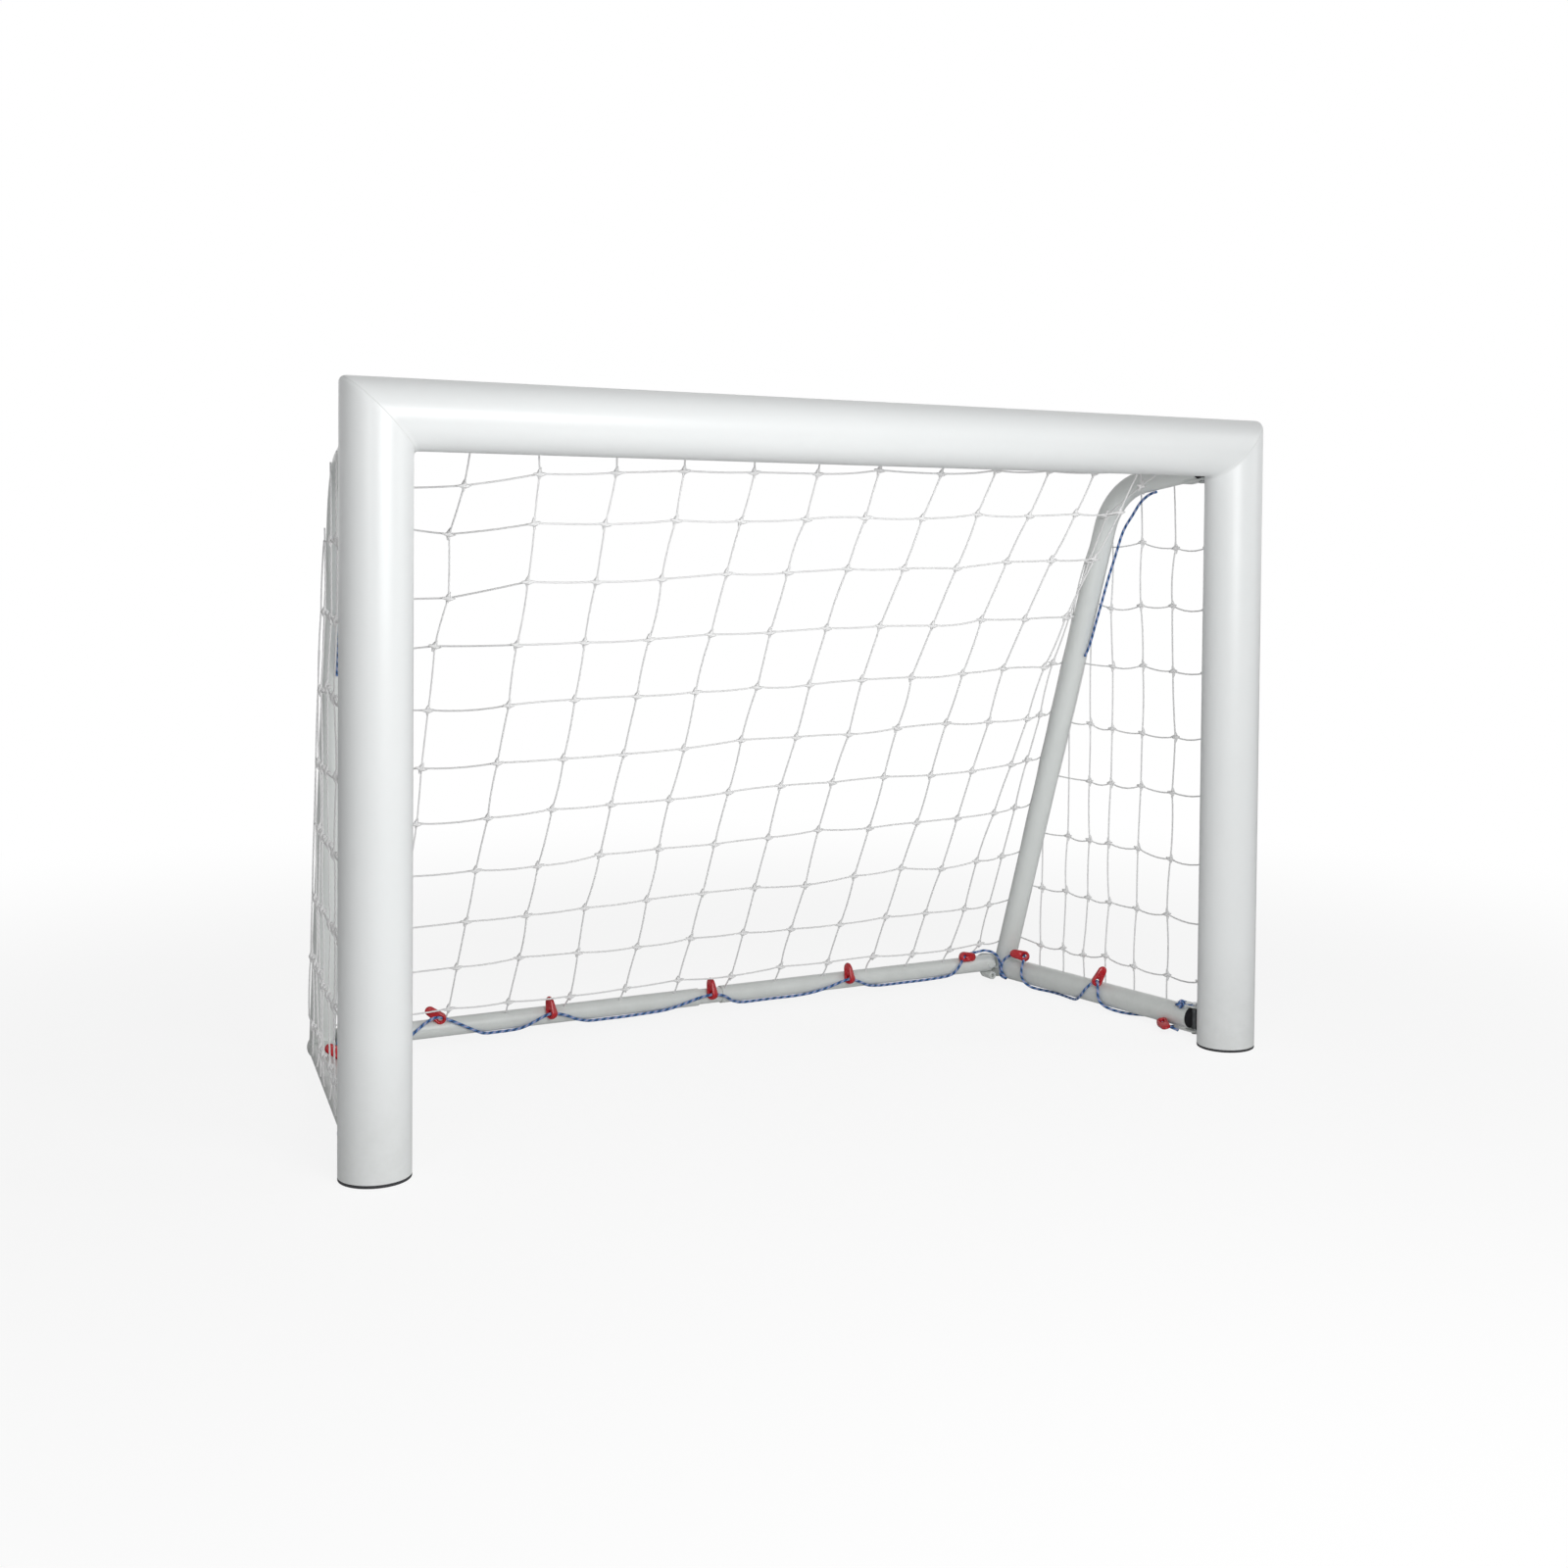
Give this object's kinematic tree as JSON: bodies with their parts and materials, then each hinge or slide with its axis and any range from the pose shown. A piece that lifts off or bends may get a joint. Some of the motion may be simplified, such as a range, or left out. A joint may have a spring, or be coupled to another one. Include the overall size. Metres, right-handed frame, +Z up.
{
  "type": "folding soccer goal",
  "caption": "Small free-standing soccer goal with round posts, hinged side frames, a plug-in rear bar and a corded net held by oblong clips.",
  "frame": {"origin": "on the floor, in the middle of the footprint", "axes": "+X along the crossbar to the right as seen from in front of the mouth, +Y from the mouth to the back of the net, +Z up"},
  "size_m": [1.92, 0.8076, 1.32],
  "materials": {
    "white_powder_coat": "gloss white powder coat",
    "grey_powder_coat": "pale grey powder coat",
    "black_rubber": "matt moulded",
    "dark_steel": "dark welded steel",
    "zinc_steel": "zinc plated",
    "red_plastic": "gloss moulded",
    "blue_cord": "braided cord",
    "net_twine": "knotted twine net, drawn as plain sheets"
  },
  "bodies": {
    "front_frame": {"crossbar": "white_powder_coat", "post_left": "white_powder_coat", "post_right": "white_powder_coat", "foot_cap_left": "black_rubber", "foot_cap_right": "black_rubber", "hinge_lug_lower_left": "dark_steel", "hinge_lug_upper_left": "dark_steel", "hinge_lug_lower_right": "dark_steel", "hinge_lug_upper_right": "dark_steel", "hinge_bolt_lower_left": "zinc_steel", "hinge_bolt_upper_left": "zinc_steel", "hinge_bolt_lower_right": "zinc_steel", "hinge_bolt_upper_right": "zinc_steel", "crossbar_hook_1": "red_plastic", "crossbar_hook_2": "red_plastic", "crossbar_hook_3": "red_plastic", "crossbar_hook_4": "red_plastic", "crossbar_hook_5": "red_plastic", "post_hook_left_1": "red_plastic", "post_hook_left_2": "red_plastic", "post_hook_right_1": "red_plastic", "post_hook_right_2": "red_plastic"},
    "side_left": {"arm_and_leg_left": "grey_powder_coat", "ground_bar_left": "grey_powder_coat", "arm_plug_left": "black_rubber", "ground_bar_plug_left": "black_rubber", "corner_plate_left": "grey_powder_coat", "corner_pin_left": "zinc_steel", "stop_peg_left": "grey_powder_coat", "side_cord_left": "blue_cord", "leg_cord_left": "blue_cord", "side_clip_left_1": "red_plastic", "side_clip_left_2": "red_plastic", "side_clip_left_3": "red_plastic", "net_side_left": "net_twine", "net_back_left": "net_twine"},
    "side_right": {"arm_and_leg_right": "grey_powder_coat", "ground_bar_right": "grey_powder_coat", "arm_plug_right": "black_rubber", "ground_bar_plug_right": "black_rubber", "corner_plate_right": "grey_powder_coat", "corner_pin_right": "zinc_steel", "stop_peg_right": "grey_powder_coat", "side_cord_right": "blue_cord", "leg_cord_right": "blue_cord", "side_clip_right_1": "red_plastic", "side_clip_right_2": "red_plastic", "side_clip_right_3": "red_plastic", "net_side_right": "net_twine", "net_back_right": "net_twine"},
    "bar_left": {"rear_bar_left": "grey_powder_coat", "rear_cord_left": "blue_cord", "rear_clip_1": "red_plastic", "rear_clip_2": "red_plastic"},
    "bar_right": {"rear_bar_right": "grey_powder_coat", "rear_bar_spigot": "grey_powder_coat", "rear_cord_right": "blue_cord", "rear_clip_3": "red_plastic", "rear_clip_4": "red_plastic", "rear_clip_5": "red_plastic"}
  },
  "joints": [
    {"name": "side_left_fold", "type": "hinge", "parent": "front_frame", "child": "side_left", "pos_m": [-0.9, -0.2438, 0.036], "axis": [0, 0, -1], "range_deg": [0, 82]},
    {"name": "side_right_fold", "type": "hinge", "parent": "front_frame", "child": "side_right", "pos_m": [0.9, -0.2438, 0.036], "axis": [0, 0, 1], "range_deg": [0, 82]},
    {"name": "bar_left_lift", "type": "hinge", "parent": "side_left", "child": "bar_left", "pos_m": [-0.76605, 0.3762, 0.05], "axis": [0, -1, 0], "range_deg": [0, 75]},
    {"name": "bar_right_lift", "type": "hinge", "parent": "side_right", "child": "bar_right", "pos_m": [0.76605, 0.3762, 0.05], "axis": [0, 1, 0], "range_deg": [0, 75]}
  ]
}
